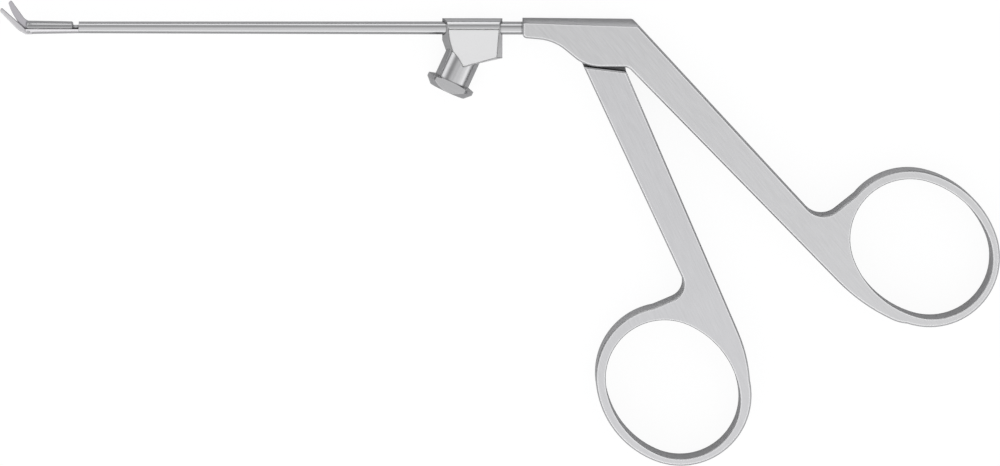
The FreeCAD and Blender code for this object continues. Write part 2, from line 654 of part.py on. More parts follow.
def make_push_rod():
    return cylinder("push_rod", "rod_size / 2", "rod_seat + axis_rise * tan(close_angle * 1 deg / 2)",
                    "-rod_seat", "axis_rise", MID, along_x=True)


def make_rod_end_ball():
    ball = doc.addObject("Part::Sphere", "ball")
    bind(ball, "Radius", "ball_size / 2")
    bind(ball, "Placement.Base.x", "axis_rise * tan(close_angle * 1 deg / 2)")
    bind(ball, "Placement.Base.y", "axis_rise")
    bind(ball, "Placement.Base.z", MID)
    doc.recompute()
    return combine("Cut", "rod_end_ball", ball, push_rod)


def make_guide_bush():
    body = new_body("rod_guide_bush")
    side = new_sketch(body, "bush_outline", y="axis_rise", lift=MID)
    outline(side, [("-bush_place", "rod_size / 2 + rod_play"), ("-bush_place", "tube_bore / 2"),
                   ("-bush_place + bush_length", "tube_bore / 2"),
                   ("-bush_place + bush_length", "rod_size / 2 + rod_play")])
    revolve(body, side, "bush")
    return body


# Port: a saddle block on the tube with a leaning socket
def port_outline(body, name, lift, left, right, foot):
    sketch = new_sketch(body, name, lift=lift)
    top = "axis_rise + port_round + rinse_hole"
    outline(sketch, [
        ("-port_left + " + left, top),
        ("-port_right - " + right, top),
        ("-port_right - " + right, "axis_rise - port_heel_drop + " + foot),
        ("-port_foot_x + %s / 8" % left, "axis_rise - port_foot_drop + " + foot),
        ("-port_left + 3 * %s / 4 + rinse_hole / 2" % left, "axis_rise - port_cheek_drop - port_round"),
        ("-port_left + " + left, "axis_rise - port_cheek_drop"),
    ])
    return sketch


def make_block_form():
    """The block before its round top is shaped: both ends lean in towards the faces."""
    body = new_body("block_form")
    face = ("port_inset_left", "port_inset_right", "port_inset_foot")
    edge = ("0 * port_left", "0 * port_left", "0 * port_left")
    sections = [port_outline(body, "block_under", "0", *face), port_outline(body, "block_middle", MID, *edge),
                port_outline(body, "block_over", "handle_thick", *face)]
    feature = body.newObject("PartDesign::AdditiveLoft", "block_loft")
    feature.Profile = sections[0]
    feature.Sections = sections[1:]
    feature.Ruled = True
    finish(body, feature, sections[0])
    return body


def make_saddle():
    """The round top and the flaring faces, run along the shaft."""
    body = new_body("saddle")
    top = new_sketch(body, "saddle_top", plane="YZ_Plane", lift="-port_left")
    circle(top, "axis_rise", MID, "port_round")
    pad(body, top, "saddle_round", "port_left - port_right")
    under = new_sketch(body, "saddle_under", plane="YZ_Plane", lift="-port_left")
    low = "axis_rise - 2 * port_round"
    outline(under, [(low, "0"), ("axis_rise - port_crease_drop", "0"),
                    ("axis_rise - port_crease_drop", "handle_thick"), (low, "handle_thick")])
    pocket(body, under, "saddle_half", "port_left - port_right", reverse=True)
    flare = new_sketch(body, "saddle_flare", plane="YZ_Plane", lift="-port_left")
    foot = "axis_rise - port_foot_drop"
    outline(flare, [("axis_rise", MID + " - port_waist_half"), ("axis_rise", MID + " + port_waist_half"),
                    (foot, MID + " + port_foot_half"), (foot, MID + " - port_foot_half")])
    pad(body, flare, "saddle_faces", "port_left - port_right")
    return body


def make_socket_bore():
    """The tapered socket for the syringe."""
    body = new_body("socket_bore")
    side = new_sketch(body, "socket_outline")
    depth = "-hub_length + socket_depth"
    outline(side, [("0", depth), ("mouth_size / 2 - socket_depth * socket_taper / 2", depth),
                   ("mouth_size / 2", "-hub_length"), ("0", "-hub_length")])
    revolve(body, side, "socket", axis="V_Axis")
    place_on_neck(body)
    return body


def make_port_block():
    block = combine("Common", "block_faces", block_form, make_saddle())
    block = combine("Cut", "block_bored", block, tube_bar)
    block = combine("Cut", "block_drilled", block, rinse_drill)
    return combine("Cut", "port_block", block, socket_bore)


def make_luer_hub():
    """Neck and flange; the neck is coped to the foot of the block."""
    neck = new_body("neck")
    side = new_sketch(neck, "neck_outline")
    rim = "-hub_length + flange_rise"
    outline(side, [("0", "-neck_start"), ("neck_size / 2", "-neck_start"),
                   ("neck_size / 2", rim + " + flange_thick + flange_back"),
                   ("flange_size / 2", rim + " + flange_thick"), ("flange_size / 2", rim),
                   ("flange_front / 2", "-hub_length"), ("0", "-hub_length")])
    revolve(neck, side, "neck_turned", axis="V_Axis")
    place_on_neck(neck)
    plate = doc.addObject("Part::Box", "flange_plate")
    bind(plate, "Length", "port_left + hub_length")
    bind(plate, "Width", "4 * hub_length")
    bind(plate, "Height", "flange_flats")
    bind(plate, "Placement.Base.x", "-port_left - hub_length")
    bind(plate, "Placement.Base.y", "-3 * hub_length")
    bind(plate, "Placement.Base.z", MID + " - flange_flats / 2")
    doc.recompute()
    hub = combine("Common", "hub_flats", neck, plate)
    hub = combine("Cut", "hub_coped", hub, block_form)
    return combine("Cut", "luer_hub", hub, socket_bore)


# Tip: fixed strip with the lower blade, slider, upper blade and their pins
SLOPE = "(tip_size - tube_tip_size) / 2 / (slider_front - tube_front)"


def tip_turning(body, name, front, back):
    """The round form of the tip between two places, thicker towards the blades."""
    sketch = new_sketch(body, name, y="axis_rise", lift=MID)
    front_radius = "tube_tip_size / 2 + (%s - tube_front) * %s" % (front, SLOPE)
    back_radius = "tube_tip_size / 2 + (%s - tube_front) * %s" % (back, SLOPE)
    outline(sketch, [("-" + front, "0"), ("-" + front, front_radius),
                     ("-" + back, back_radius), ("-" + back, "0")])
    revolve(body, sketch, name + "_turned")


def make_lower_blade():
    body = new_body("lower_blade")
    tip_turning(body, "strip", "strip_front", "tube_front")
    spigot = new_sketch(body, "spigot_outline", y="axis_rise", lift=MID)
    spigot_front = "-tube_front - spigot_length / 8"
    outline(spigot, [(spigot_front, "0"), (spigot_front, "tube_bore / 2"),
                     ("-tube_front + spigot_length", "tube_bore / 2"), ("-tube_front + spigot_length", "0")])
    revolve(body, spigot, "spigot")
    box_cut(body, "slider_room", "-strip_front - tip_size", "-tube_front",
            "axis_rise - slider_floor - slider_gap", "axis_rise + tip_size", "0", "handle_thick")
    groove = new_sketch(body, "rod_groove_outline", y="axis_rise", lift=MID)
    reach = "-rod_seat - rod_size"
    outline(groove, [(reach, "0"), (reach, "rod_size / 2 + rod_play"),
                     ("-tube_front + 2 * spigot_length", "rod_size / 2 + rod_play"),
                     ("-tube_front + 2 * spigot_length", "0")])
    revolve(body, groove, "rod_groove", cut=True)
    travel = "axis_rise * close_angle * pi / 180"
    rail_end = "-rail_front - %s - 2 * rail_play" % travel
    rail_open = "-tube_front - spigot_length / 8"
    foot_top = "axis_rise - slider_floor - rail_neck_depth + rail_play"
    foot_low = "axis_rise - slider_floor - rail_neck_depth - rail_foot_thick - rail_play"
    box_cut(body, "neck_slot", rail_end, rail_open, foot_low, "axis_rise",
            MID + " - rail_neck / 2 - rail_play", "rail_neck + 2 * rail_play")
    box_cut(body, "foot_slot", rail_end, rail_open, foot_low, foot_top,
            MID + " - rail_foot / 2 - rail_play", "rail_foot + 2 * rail_play")
    box_cut(body, "blade_slot", "-strip_front - tip_size", "-blade_slot_back", "axis_rise - tip_size",
            "axis_rise", MID + " - blade_play / 2 - blade_thick - slot_play",
            "blade_thick + blade_play + slot_play")
    jaw = new_sketch(body, "lower_blade_outline", lift=MID + " + blade_play / 2")
    strip_low = "axis_rise - tube_tip_size / 2 - (strip_front - tube_front) * " + SLOPE
    outline(jaw, [("-strip_front", "lower_heel_y"), ("lower_tip_x", "lower_tip_y"),
                  ("lower_point_x", "lower_point_y"), ("lower_back_x", "lower_back_y"),
                  ("-strip_front", strip_low), ("-strip_front + lower_root", strip_low),
                  ("-strip_front + lower_root", "lower_heel_y")])
    pad(body, jaw, "lower_jaw", "blade_thick")
    dress(body, "Fillet", "lower_jaw_back", corner_edges(body, jaw, [3]), "lower_back_round")
    dress(body, "Fillet", "lower_jaw_tip", corner_edges(body, jaw, [1, 2]), "tip_round")
    round_blade_back(body)
    return combine("Cut", "lower_blade", body, blade_pivot_pin)


def round_blade_back(body):
    """Round the outer lower edge of the lower blade, as the strip it grows from is round."""
    level = SIZE["handle_thick"] / 2 + SIZE["blade_play"] / 2 + SIZE["blade_thick"]
    heel = Vector(-SIZE["strip_front"], SIZE["lower_heel_y"], 0)
    tip = Vector(SIZE["lower_tip_x"], SIZE["lower_tip_y"], 0)
    slope = (tip.y - heel.y) / (tip.x - heel.x)

    def on_back(edge):
        middle = edge.valueAt((edge.FirstParameter + edge.LastParameter) / 2)
        below = heel.y + slope * (middle.x - heel.x) - middle.y
        return edge.BoundBox.XMax < heel.x - 0.01 and below > SIZE["tip_round"] / 4
    edges = rim_edges(body.Shape, [level], on_back)
    dress(body, "Fillet", "lower_back_round_edge", edges, "blade_grind")


def make_slider():
    body = new_body("slider")
    tip_turning(body, "block", "slider_front", "slider_back")
    floor = "axis_rise - slider_floor"
    box_cut(body, "slider_under", "-slider_front - tip_size", "-slider_back + tip_size",
            "axis_rise - tip_size", floor, "0", "handle_thick")
    round_slider_ends(body)
    neck_low = floor + " - rail_neck_depth"
    box_pad(body, "rail_neck_block", "-rail_front", "-rail_back", neck_low, floor + " + rail_play",
            "rail_neck")
    box_pad(body, "rail_foot_block", "-rail_front", "-rail_back", neck_low + " - rail_foot_thick", neck_low,
            "rail_foot")
    box_cut(body, "slider_blade_slot", "-slider_front - tip_size", "-blade_slot_back",
            "axis_rise - tip_size", "axis_rise + tip_size",
            MID + " - blade_play / 2 - blade_thick - slot_play", "blade_thick + blade_play + slot_play")
    toe = new_sketch(body, "slider_toe_outline")
    outline(toe, [("-slider_front - tip_size", floor + " - tip_size"),
                  ("-slider_front + slider_toe + tip_size", floor + " - tip_size"),
                  ("-slider_front - tip_size", floor + " + slider_toe + tip_size")])
    pocket(body, toe, "slider_toe", "handle_thick", reverse=True)
    slider = combine("Cut", "slider_drilled", body, push_rod)
    return combine("Cut", "slider", slider, blade_drive_pin)


def round_slider_ends(body):
    """Round the upper front edge of the slider and bevel its upper back edge."""
    def at_end(place):
        def lies(edge):
            box = edge.BoundBox
            return max(abs(box.XMin + place), abs(box.XMax + place)) < 1e-4 and box.YMax > SIZE["axis_rise"]
        return lies
    front = edges_where(body.Shape, at_end(SIZE["slider_front"]))
    dress(body, "Fillet", "slider_front_edge", front, "slider_nose")
    back = edges_where(body.Shape, at_end(SIZE["slider_back"]))
    dress(body, "Chamfer", "slider_back_edge", back, "slider_chamfer")


def make_upper_blade():
    body = new_body("upper_blade")
    pivot = ("-blade_pivot_x", "axis_rise - blade_pivot_drop")
    level = MID + " - blade_play / 2 - blade_thick"
    jaw = new_sketch(body, "upper_blade_outline", lift=level)
    outline(jaw, [("upper_tip_x", "upper_tip_y"), ("upper_point_x", "upper_point_y"),
                  ("upper_edge_x", "upper_edge_y"), ("upper_heel_x", "upper_heel_y"), pivot,
                  ("upper_root_x", "upper_root_y"), ("upper_back_x", "upper_back_y")])
    pad(body, jaw, "upper_jaw", "blade_thick")
    dress(body, "Fillet", "upper_jaw_edge", corner_edges(body, jaw, [2]), "upper_edge_bevel")
    dress(body, "Fillet", "upper_jaw_back", corner_edges(body, jaw, [6]), "upper_back_round")
    dress(body, "Fillet", "upper_jaw_tip", corner_edges(body, jaw, [0, 1]), "tip_round")
    tang = new_sketch(body, "tang_outline", lift=level)
    circle(tang, pivot[0], pivot[1], "tang_size / 2")
    pad(body, tang, "tang", "blade_thick")
    horn = new_sketch(body, "horn_outline", x=pivot[0], y=pivot[1], lift=level, turn="-blade_close / 2")
    reach = "blade_lever / cos(blade_close * 1 deg / 2) + drive_pin / 2 + drive_play"
    outline(horn, [("-horn_half", "0"), ("horn_half", "0"), ("horn_half", reach + " + horn_wall"),
                   ("-horn_half", reach + " + horn_wall")])
    pad(body, horn, "horn", "blade_thick")
    dress(body, "Fillet", "horn_corners", corner_edges(body, horn, [2, 3]), "horn_wall")
    slot = new_sketch(body, "drive_slot_outline", x=pivot[0], y=pivot[1], lift=level, turn="-blade_close / 2")
    half = "(drive_pin / 2 + drive_play)"
    low = "blade_lever - drive_pin / 2 - drive_play"
    outline(slot, [("-" + half, low), (half, low), (half, reach), ("-" + half, reach)])
    pocket(body, slot, "drive_slot", "blade_thick", reverse=True)
    bore = new_sketch(body, "blade_bore_outline", x=pivot[0], y=pivot[1], lift=level)
    circle(bore, "0", "0", "blade_pin / 2 + drive_play")
    pocket(body, bore, "blade_bore", "blade_thick", reverse=True)
    return body


rinse_drill = make_rinse_drill()
block_form = make_block_form()
socket_bore = make_socket_bore()
tube_bar = cylinder("tube_bar", "tube_size / 2", "taper_end", "-taper_end", "axis_rise", MID, along_x=True)
push_rod = make_push_rod()
blade_pivot_pin = cylinder("blade_pivot_pin", "blade_pin / 2", "2 * pin_reach", "-blade_pivot_x",
                           "axis_rise - blade_pivot_drop", MID + " - pin_reach")
blade_drive_pin = cylinder("blade_drive_pin", "drive_pin / 2", "2 * pin_reach",
                           "-blade_pivot_x + blade_lever * tan(blade_close * 1 deg / 2)",
                           "axis_rise - blade_pivot_drop + blade_lever", MID + " - pin_reach")

keep("rear_handle", make_rear_handle())
keep("front_handle", make_front_handle())
keep("handle_pivot_screw", make_pivot_screw())
keep("shaft_tube", make_shaft_tube())
keep("push_rod", push_rod)
keep("rod_end_ball", make_rod_end_ball())
keep("rod_guide_bush", make_guide_bush())
keep("port_block", make_port_block())
keep("luer_hub", make_luer_hub())
keep("lower_blade", make_lower_blade())
keep("slider", make_slider())
keep("upper_blade", make_upper_blade())
keep("blade_pivot_pin", blade_pivot_pin)
keep("blade_drive_pin", blade_drive_pin)

doc.recompute()
for item in doc.Objects:
    if "Invalid" in item.State or "Error" in item.State:
        raise RuntimeError("%s did not build: %s" % (item.Label, item.State))
for node in NODES:
    shape = node.Shape
    if shape.isNull() or not shape.isValid() or not shape.Solids:
        raise RuntimeError("%s has no valid solid" % node.Label)

os.makedirs("parts", exist_ok=True)
for node in NODES:
    node.Shape.exportStep("parts/%s.step" % node.Label)
    print("%-20s %8.2f mm3, %d solid(s)" % (node.Label, node.Shape.Volume, len(node.Shape.Solids)))
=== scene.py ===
# %% [markdown]
# # Micro scissors: looks for a small steel instrument
#
# The solids come ready made, so this lesson is about light, metal and the last small
# touches that a maker's bench leaves behind. We load the fixed model first. Its nodes are
# never moved and their meshes are never changed. We only dress them.

# %% Load the instrument
import math
from types import SimpleNamespace

import bpy
from mathutils import Matrix, Vector

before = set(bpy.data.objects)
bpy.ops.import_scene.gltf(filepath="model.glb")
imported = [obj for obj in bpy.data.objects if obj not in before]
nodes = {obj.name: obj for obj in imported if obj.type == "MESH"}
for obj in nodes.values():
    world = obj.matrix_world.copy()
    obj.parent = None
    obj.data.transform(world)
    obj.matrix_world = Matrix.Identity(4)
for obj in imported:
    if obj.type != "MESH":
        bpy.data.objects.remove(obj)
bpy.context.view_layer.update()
print("nodes:", ", ".join(sorted(nodes)))

# %% [markdown]
# ## The view
#
# The instrument was photographed from almost straight above, from about three quarters of a
# metre, so the view is nearly flat but the far walls of the finger rings still show a
# little. A parallel camera would show every wall at the same slant. We use a long lens
# instead, on a line that leans 6 degrees from the vertical: it keeps the shaft straight and
# the rings round, and lets each wall show as much as it should.

# %% Camera
MM = 0.001
LEAN = math.radians(6.1)
ROLL = math.radians(0.09)
AIM = Vector((-16.36, -29.93, 3.0)) * MM
DISTANCE = 0.75
SENSOR_MM = 36.0
PICTURE_POINTS = 1000
POINT_MM = 0.16         # what one picture point shows of the instrument

lens = bpy.data.cameras.new("view")
lens.sensor_width = SENSOR_MM
lens.lens = SENSOR_MM * DISTANCE / (PICTURE_POINTS * POINT_MM * MM)
lens.clip_start = 0.05
lens.clip_end = 10.0
camera = bpy.data.objects.new("view", lens)
bpy.context.collection.objects.link(camera)
up_the_line = Vector((0, math.sin(LEAN), math.cos(LEAN)))
camera.matrix_world = (Matrix.Translation(AIM + DISTANCE * up_the_line)
                       @ Matrix.Rotation(-LEAN, 4, "X") @ Matrix.Rotation(ROLL, 4, "Z"))
bpy.context.scene.camera = camera
print("camera at", [round(c, 3) for c in camera.location], "lens", round(lens.lens, 2), "mm")

# %% [markdown]
# ## The table
#
# The instrument lies on a plain table that runs out of the picture on all sides. A curved
# backdrop would do as well, but from this high up one large plane looks the same. It lies
# a hair below the handles, because two surfaces in one plane flicker.

# %% Table
TABLE_SIZE = 6.0
HAIR = 0.00002

bpy.ops.object.select_all(action="DESELECT")
bpy.ops.mesh.primitive_plane_add(size=TABLE_SIZE, location=(0, 0, -HAIR))
floor = bpy.context.object
floor.name = "table"
bpy.ops.object.transform_apply(location=True, rotation=True, scale=True)
print("table:", TABLE_SIZE, "m wide")

# %% [markdown]
# A material is a chain of nodes. It could be drawn by hand in the shader editor, but code
# makes the same chain each time. A long chain is hard to read in code, so three helpers keep
# it short: one fills a socket, one does a sum, and one keeps the camera's rays apart.

# %% Node helpers
def feed(tree, socket, value):
    """Set a number or a colour on a socket, or link another node's output to it."""
    if isinstance(value, (int, float, tuple)):
        socket.default_value = value
    else:
        tree.links.new(value, socket)


def math_node(tree, operation, first, second):
    """One sum of two values, each of them a number or another node's output."""
    node = tree.nodes.new("ShaderNodeMath")
    node.operation = operation
    feed(tree, node.inputs[0], first)
    feed(tree, node.inputs[1], second)
    return node.outputs[0]


def mix_for_camera(tree, camera_share, lit, plain, kind):
    """Show one shader to the light, and to the camera its share of a plain one."""
    mix = tree.nodes.new("ShaderNodeMixShader")
    out = tree.nodes.new(kind)
    tree.links.new(camera_share, mix.inputs["Fac"])
    tree.links.new(lit.outputs[0], mix.inputs[1])
    tree.links.new(plain.outputs[0], mix.inputs[2])
    tree.links.new(mix.outputs[0], out.inputs["Surface"])


print("helpers:", feed.__name__, math_node.__name__, mix_for_camera.__name__)

# %% [markdown]
# The background is plain white. A table lit to full white would throw too much light back
# onto the steel, so the table is a pale diffuse surface, and only the camera sees most of it
# as plain white. A little of the real table is left in that mixture, and with it a faint
# shadow that tells the eye that the instrument lies on something.

# %% Table finish
TABLE_COLOUR = (0.58, 0.58, 0.585, 1)
PLAIN_WHITE = (1, 1, 1, 1)
WHITE_GLOW = 1.14       # a little over 1 makes up for the darker part of the mixture
WHITE_SHARE = 0.80

table_look = bpy.data.materials.new("white table")
table_look.use_nodes = True
tree = table_look.node_tree
tree.nodes.clear()
real = tree.nodes.new("ShaderNodeBsdfDiffuse")
real.inputs["Color"].default_value = TABLE_COLOUR
white = tree.nodes.new("ShaderNodeEmission")
white.inputs["Color"].default_value = PLAIN_WHITE
white.inputs["Strength"].default_value = WHITE_GLOW
path = tree.nodes.new("ShaderNodeLightPath")
camera_share = math_node(tree, "MULTIPLY", path.outputs["Is Camera Ray"], WHITE_SHARE)
mix_for_camera(tree, camera_share, real, white, "ShaderNodeOutputMaterial")
floor.data.materials.append(table_look)
print("table finish:", table_look.name)

# %% [markdown]
# ## The light
#
# Metal shows the room that it stands in, so the room is the light. A product photographer
# surrounds the steel with large pale screens: the level faces then turn an even grey, and
# the round shaft gets soft bands. Area lamps could stand in for the screens, but their edges
# show as hard lines on a tube. So we write the room as lists. For the far side, the near
# side and the far right, each list says how bright the screens are at each height above the
# horizon.

# %% Screens
# Each step is (degrees above the horizon, brightness).
FAR_SIDE = [(0, 0.14), (7, 0.15), (11, 1.15), (26, 1.35), (38, 0.85),
            (48, 0.40), (60, 0.38), (72, 0.58), (84, 0.70), (90, 0.70)]
NEAR_SIDE = [(0, 0.25), (9, 0.75), (20, 1.45), (36, 1.15), (62, 0.90),
             (74, 0.95), (81, 0.94), (86, 0.72), (90, 0.70)]
RIGHT_SIDE = [(0, 0.22), (10, 0.25), (16, 0.50), (34, 0.70), (50, 1.00),
              (64, 1.30), (74, 1.10), (84, 0.78), (90, 0.70)]
SKY = 1.6               # a ramp holds each brightness as a share of this one
COOL = 1.01             # the screens are a trace bluer than grey


def height_ramp(tree, height, steps):
    """A grey that follows the steps of a list as the height of the view direction rises."""
    ramp = tree.nodes.new("ShaderNodeValToRGB")
    elements = ramp.color_ramp.elements
    while len(elements) > 1:
        elements.remove(elements[-1])
    for number, (degrees, value) in enumerate(steps):
        place = math.sin(math.radians(degrees))
        element = elements[0] if number == 0 else elements.new(place)
        element.position = place
        element.color = (value / SKY, value / SKY, COOL * value / SKY, 1)
    tree.links.new(height, ramp.inputs["Fac"])
    return ramp.outputs["Color"]


print("sky steps:", len(FAR_SIDE) + len(NEAR_SIDE) + len(RIGHT_SIDE))

# %% [markdown]
# Sharp borders between the lists would show as steps in the steel, so each list has to fade
# into the next. Two more helpers do this, here and in every finish below. `share` measures
# how far a value has come between two limits, and `blend` turns one colour into another.

# %% Fades
def share(tree, value, low, high):
    """How far a value has come from low to high, between 0 and 1."""
    node = tree.nodes.new("ShaderNodeMapRange")
    node.inputs["From Min"].default_value = low
    node.inputs["From Max"].default_value = high
    tree.links.new(value, node.inputs["Value"])
    return node.outputs["Result"]


def blend(tree, factor, first, second):
    """One colour turning into another as the factor goes from 0 to 1."""
    node = tree.nodes.new("ShaderNodeMix")
    node.data_type = "RGBA"
    node.clamp_factor = True
    tree.links.new(factor, node.inputs[0])
    feed(tree, node.inputs[6], first)
    feed(tree, node.inputs[7], second)
    return node.outputs[2]


print("helpers:", share.__name__, blend.__name__)

# %% [markdown]
# Now the three lists become one room. A painted picture wrapped round the scene could hold
# it too, but three lists are easier to change. The direction of the light comes as three
# numbers between -1 and 1, and the borders between the lists are set on those.

# %% Room
FAR_BORDER = (-0.15, 0.15)      # from the near list to the far one
RIGHT_BORDER = (0.05, 0.25)     # from both of them to the right one
RIGHT_REACH = (-0.10, 0.15)     # the right list only counts on the far half

world = bpy.data.worlds.new("studio")
bpy.context.scene.world = world
world.use_nodes = True
tree = world.node_tree
tree.nodes.clear()
where = tree.nodes.new("ShaderNodeTexCoord")
towards = tree.nodes.new("ShaderNodeSeparateXYZ")
tree.links.new(where.outputs["Generated"], towards.inputs[0])
height = towards.outputs["Z"]
far = share(tree, towards.outputs["Y"], *FAR_BORDER)
right = math_node(tree, "MULTIPLY", share(tree, towards.outputs["X"], *RIGHT_BORDER),
                  share(tree, towards.outputs["Y"], *RIGHT_REACH))
room = blend(tree, far, height_ramp(tree, height, NEAR_SIDE),
             height_ramp(tree, height, FAR_SIDE))
room = blend(tree, right, room, height_ramp(tree, height, RIGHT_SIDE))
print("room nodes:", len(tree.nodes))

# %% [markdown]
# The screens light the steel and are reflected in it, but the camera itself never sees
# them. Where it looks past the table it finds the same plain white.

# %% Sky
sky = tree.nodes.new("ShaderNodeBackground")
sky.inputs["Strength"].default_value = SKY
tree.links.new(room, sky.inputs["Color"])
clear = tree.nodes.new("ShaderNodeBackground")
clear.inputs["Color"].default_value = PLAIN_WHITE
path = tree.nodes.new("ShaderNodeLightPath")
mix_for_camera(tree, path.outputs["Is Camera Ray"], sky, clear, "ShaderNodeOutputWorld")
print("world:", world.name)

# %% [markdown]
# ## Shared effects
#
# Every finish on this instrument is worked steel, so the same three effects return in all
# of the materials, each time with other numbers. We could write them out each time. As node
# groups they are built once, and give back only values. The shader stays in each material.
#
# **Grain** is the fine brushed, drawn or blasted texture. A picture of scratches would
# repeat and would have to be wrapped round each piece. A stretched noise never repeats, and
# it lifts the surface a little and spreads the highlights.

# %% Grain group
NOISE_MIDDLE = 0.5      # a noise runs from 0 to 1, so half of it is taken off first
GRAIN_DETAIL = 3.0
GRAIN_HARSHNESS = 0.6
FLOAT = "NodeSocketFloat"
VECTOR = "NodeSocketVector"


def new_group(name, inputs, outputs):
    """An empty group: inputs are (label, kind, value), and outputs are labels."""
    group = bpy.data.node_groups.new(name, "ShaderNodeTree")
    for label, kind, value in inputs:
        socket = group.interface.new_socket(label, in_out="INPUT", socket_type=kind)
        if value is not None:
            socket.default_value = value
    for label in outputs:
        group.interface.new_socket(label, in_out="OUTPUT", socket_type=FLOAT)
    return group, group.nodes.new("NodeGroupInput"), group.nodes.new("NodeGroupOutput")


grain, given, result = new_group(
    "grain",
    [("Place", VECTOR, None), ("Scale", FLOAT, 4000.0), ("Tone", FLOAT, 0.05),
     ("Gloss", FLOAT, 0.08)],
    ["Height", "Tone", "Gloss"])
fine = grain.nodes.new("ShaderNodeTexNoise")
fine.inputs["Detail"].default_value = GRAIN_DETAIL
fine.inputs["Roughness"].default_value = GRAIN_HARSHNESS
grain.links.new(given.outputs["Place"], fine.inputs["Vector"])
grain.links.new(given.outputs["Scale"], fine.inputs["Scale"])
centred = math_node(grain, "SUBTRACT", fine.outputs["Fac"], NOISE_MIDDLE)
grain.links.new(fine.outputs["Fac"], result.inputs["Height"])
for label in ("Tone", "Gloss"):
    grain.links.new(math_node(grain, "MULTIPLY", centred, given.outputs[label]),
                    result.inputs[label])
print("group:", grain.name)

# %% [markdown]
# **Handling** is what cleaning and use leave behind on the steel. Single smudges painted by
# hand would draw the eye. We use a second, much wider noise: soft clouds in the tone and in
# the gloss.

# %% Handling group
CLOUD_DETAIL = 2.0

handling, given, result = new_group(
    "handling",
    [("Place", VECTOR, None), ("Scale", FLOAT, 60.0), ("Tone", FLOAT, 0.04),
     ("Gloss", FLOAT, 0.06)],
    ["Tone", "Gloss"])
wide = handling.nodes.new("ShaderNodeTexNoise")
wide.inputs["Detail"].default_value = CLOUD_DETAIL
handling.links.new(given.outputs["Place"], wide.inputs["Vector"])
handling.links.new(given.outputs["Scale"], wide.inputs["Scale"])
centred = math_node(handling, "SUBTRACT", wide.outputs["Fac"], NOISE_MIDDLE)
for label in ("Tone", "Gloss"):
    handling.links.new(math_node(handling, "MULTIPLY", centred, given.outputs[label]),
                       result.inputs[label])
print("group:", handling.name)

# %% [markdown]
# ** Crevice shade** is painted shade: a dark line between two pieces or in a narrow slot,
# and at the foot of a wall by the table, where little light reaches. Thin dark strips could
# be modelled there, but they would have to be fitted to every seam. Instead we darken the
# steel's colour where little of the sky can reach it. The underside is left out, because it
# only lies close to the table.

# %% Crevice shade group
OPEN_AIR, TIGHT_GAP = 0.85, 0.35        # how much of the sky a point can reach
UNDERSIDE, SIDE_WALL = -0.6, -0.2       # how far up a surface faces

crevice_shade, given, result = new_group(
    "crevice_shade",
    [("Openness", FLOAT, 1.0), ("Up", FLOAT, 1.0), ("Depth", FLOAT, 0.6)],
    ["Factor"])
# Painted shade: the colour darkens where little of the sky reaches.
narrow = share(crevice_shade, given.outputs["Openness"], OPEN_AIR, TIGHT_GAP)
upper = share(crevice_shade, given.outputs["Up"], UNDERSIDE, SIDE_WALL)
both = math_node(crevice_shade, "MULTIPLY", narrow, upper)
deep = math_node(crevice_shade, "MULTIPLY", both, given.outputs["Depth"])
crevice_shade.links.new(math_node(crevice_shade, "SUBTRACT", 1.0, deep), result.inputs["Factor"])
print("group:", crevice_shade.name)

# %% [markdown]
# ## The steps of a steel
#
# All of the pieces are steel, but no two kinds are worked alike. One long recipe with a
# switch for everything would be hard to read. Instead each step of the work is a short
# function, and a piece's finish calls the steps that the real piece went through.
#
# **Bare steel** comes first: a metal shader, and what later steps read from the surface,
# which is where a point lies and which way it faces.

# %% Bare steel
def grey(level):
    """The grey of steel, with its trace of blue."""
    return (level, level, level + 0.005)


def bare_steel(name, colour, roughness):
    """Start a steel: a metal shader, and the place and the direction of each point."""
    look = bpy.data.materials.new(name)
    look.use_nodes = True
    tree = look.node_tree
    shader = tree.nodes["Principled BSDF"]
    shader.inputs["Metallic"].default_value = 1.0
    surface = tree.nodes.new("ShaderNodeTexCoord")
    place = tree.nodes.new("ShaderNodeSeparateXYZ")
    facing = tree.nodes.new("ShaderNodeSeparateXYZ")
    tree.links.new(surface.outputs["Object"], place.inputs[0])
    tree.links.new(surface.outputs["Normal"], facing.inputs[0])
    return SimpleNamespace(look=look, tree=tree, shader=shader, point=surface.outputs["Object"],
                           place=place.outputs, facing=facing.outputs,
                           colour=colour, roughness=roughness)


print("step:", bare_steel.__doc__)

# %% [markdown]
# **Working the surface** lays the grain over the steel. A Mapping node stretches the noise:
# `along` says how many times longer the grain is in its own direction, `turn` is that
# direction in degrees, and `around` stretches it across the thickness too, as on a turned
# piece. `scale` makes it finer, and `tone` and `gloss` say how much it changes the
# brightness and the shine. The clouds of handling are the same on every piece.

# %% Worked surface
CLOUD_TONE = 0.05
CLOUD_GLOSS = 0.05


def place_group(tree, group, **sockets):
    """Place a group in a material, with its own values and links."""
    node = tree.nodes.new("ShaderNodeGroup")
    node.node_tree = group
    for label, value in sockets.items():
        feed(tree, node.inputs[label], value)
    return node.outputs


def work_surface(steel, along=1.0, around=1.0, turn=0.0, scale=4000.0, tone=0.05, gloss=0.08):
    """Give the steel its grain, and the clouds that handling leaves."""
    tree = steel.tree
    mapping = tree.nodes.new("ShaderNodeMapping")
    mapping.vector_type = "TEXTURE"
    mapping.inputs["Scale"].default_value = (along, 1, around)
    mapping.inputs["Rotation"].default_value = (0, 0, math.radians(turn))
    tree.links.new(steel.point, mapping.inputs["Vector"])
    worked = place_group(tree, grain, Place=mapping.outputs["Vector"], Scale=scale, Tone=tone,
                         Gloss=gloss)
    clouds = place_group(tree, handling, Place=steel.point, Tone=CLOUD_TONE, Gloss=CLOUD_GLOSS)
    both = math_node(tree, "ADD", worked["Tone"], clouds["Tone"])
    steel.brightness = math_node(tree, "ADD", both, 1.0)
    steel.gloss = math_node(tree, "ADD", worked["Gloss"], clouds["Gloss"])
    steel.height = worked["Height"]


print("step:", work_surface.__doc__)

